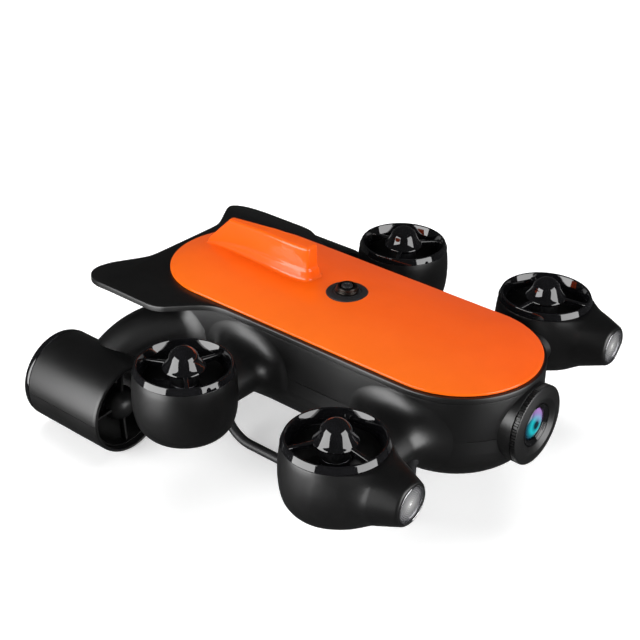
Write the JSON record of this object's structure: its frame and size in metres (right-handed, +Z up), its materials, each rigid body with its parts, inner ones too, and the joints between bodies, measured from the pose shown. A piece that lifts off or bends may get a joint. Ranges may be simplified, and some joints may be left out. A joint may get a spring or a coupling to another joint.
{
  "type": "underwater drone",
  "caption": "Underwater camera craft: round-ended hull, ducted thrusters on arms, swallow-tail wing, camera in the nose, lamps and landing skids.",
  "frame": {"origin": "centre of the craft's footprint box, on the surface that it stands on", "axes": "+Z up, the nose and camera look along -Y, the craft's own left (port) side is +X"},
  "size_m": [0.3364, 0.3644, 0.1488],
  "materials": {
    "orange_shell": "high-gloss orange moulded shell",
    "satin_shell": "satin black moulded plastic",
    "gloss_black": "polished black plastic",
    "propeller": "black moulded blades",
    "rubber": "black rubber, soft sheen",
    "chrome": "bright trim ring",
    "lamp_lens": "silver reflector with fine rings under a clear lens",
    "clear_glass": "coated camera glass, blue-green sheen",
    "motor_metal": "machined motor can",
    "circuit_board": "green solder mask",
    "battery_wrap": "blue shrink wrap"
  },
  "bodies": {
    "craft": {"battery_pack": "battery_wrap", "bowl_front_left": "satin_shell", "bowl_front_right": "satin_shell", "bowl_rear_left": "satin_shell", "bowl_rear_right": "satin_shell", "camera_bezel": "satin_shell", "camera_board": "circuit_board", "camera_boss": "satin_shell", "camera_housing": "satin_shell", "camera_lens": "gloss_black", "camera_retainer": "gloss_black", "camera_window": "clear_glass", "control_board": "circuit_board", "drive_arm_left": "satin_shell", "drive_arm_right": "satin_shell", "drive_motor_left": "motor_metal", "drive_motor_right": "motor_metal", "drive_shell_lower_left": "satin_shell", "drive_shell_lower_right": "satin_shell", "drive_shell_upper_left": "satin_shell", "drive_shell_upper_right": "satin_shell", "guard_front_left": "gloss_black", "guard_front_right": "gloss_black", "guard_rear_left": "gloss_black", "guard_rear_right": "gloss_black", "hull_seal": "rubber", "intake_guard_left": "gloss_black", "intake_guard_right": "gloss_black", "lamp_board_left": "circuit_board", "lamp_board_right": "circuit_board", "lamp_lens_left": "lamp_lens", "lamp_lens_right": "lamp_lens", "lamp_ring_left": "chrome", "lamp_ring_right": "chrome", "lift_arm_front_left": "satin_shell", "lift_arm_front_right": "satin_shell", "lift_arm_rear_left": "satin_shell", "lift_arm_rear_right": "satin_shell", "lift_motor_front_left": "motor_metal", "lift_motor_front_right": "motor_metal", "lift_motor_rear_left": "motor_metal", "lift_motor_rear_right": "motor_metal", "lower_hull": "satin_shell", "outlet_guard_left": "satin_shell", "outlet_guard_right": "satin_shell", "skid_left": "rubber", "skid_right": "rubber", "socket_collar": "gloss_black", "socket_core": "rubber", "socket_flange": "satin_shell", "top_cover": "orange_shell", "upper_hull": "satin_shell", "wing_deck": "satin_shell"},
    "lift_rotor_front_left": {"lift_propeller_front_left": "propeller"},
    "lift_rotor_front_right": {"lift_propeller_front_right": "propeller"},
    "lift_rotor_rear_left": {"lift_propeller_rear_left": "propeller"},
    "lift_rotor_rear_right": {"lift_propeller_rear_right": "propeller"},
    "drive_rotor_left": {"drive_propeller_left": "propeller"},
    "drive_rotor_right": {"drive_propeller_right": "propeller"}
  },
  "joints": [
    {"name": "lift_spin_front_left", "type": "hinge", "parent": "craft", "child": "lift_rotor_front_left", "pos_m": [0.13, -0.10545, 0.0758], "axis": [0, 0, 1], "continuous": true},
    {"name": "lift_spin_front_right", "type": "hinge", "parent": "craft", "child": "lift_rotor_front_right", "pos_m": [-0.13, -0.10545, 0.0758], "axis": [0, 0, 1], "continuous": true},
    {"name": "lift_spin_rear_left", "type": "hinge", "parent": "craft", "child": "lift_rotor_rear_left", "pos_m": [0.13, 0.03275, 0.0758], "axis": [0, 0, 1], "continuous": true},
    {"name": "lift_spin_rear_right", "type": "hinge", "parent": "craft", "child": "lift_rotor_rear_right", "pos_m": [-0.13, 0.03275, 0.0758], "axis": [0, 0, 1], "continuous": true},
    {"name": "drive_spin_left", "type": "hinge", "parent": "craft", "child": "drive_rotor_left", "pos_m": [0.1275, 0.14315, 0.0362], "axis": [0, 1, 0], "continuous": true},
    {"name": "drive_spin_right", "type": "hinge", "parent": "craft", "child": "drive_rotor_right", "pos_m": [-0.1275, 0.14315, 0.0362], "axis": [0, 1, 0], "continuous": true}
  ]
}
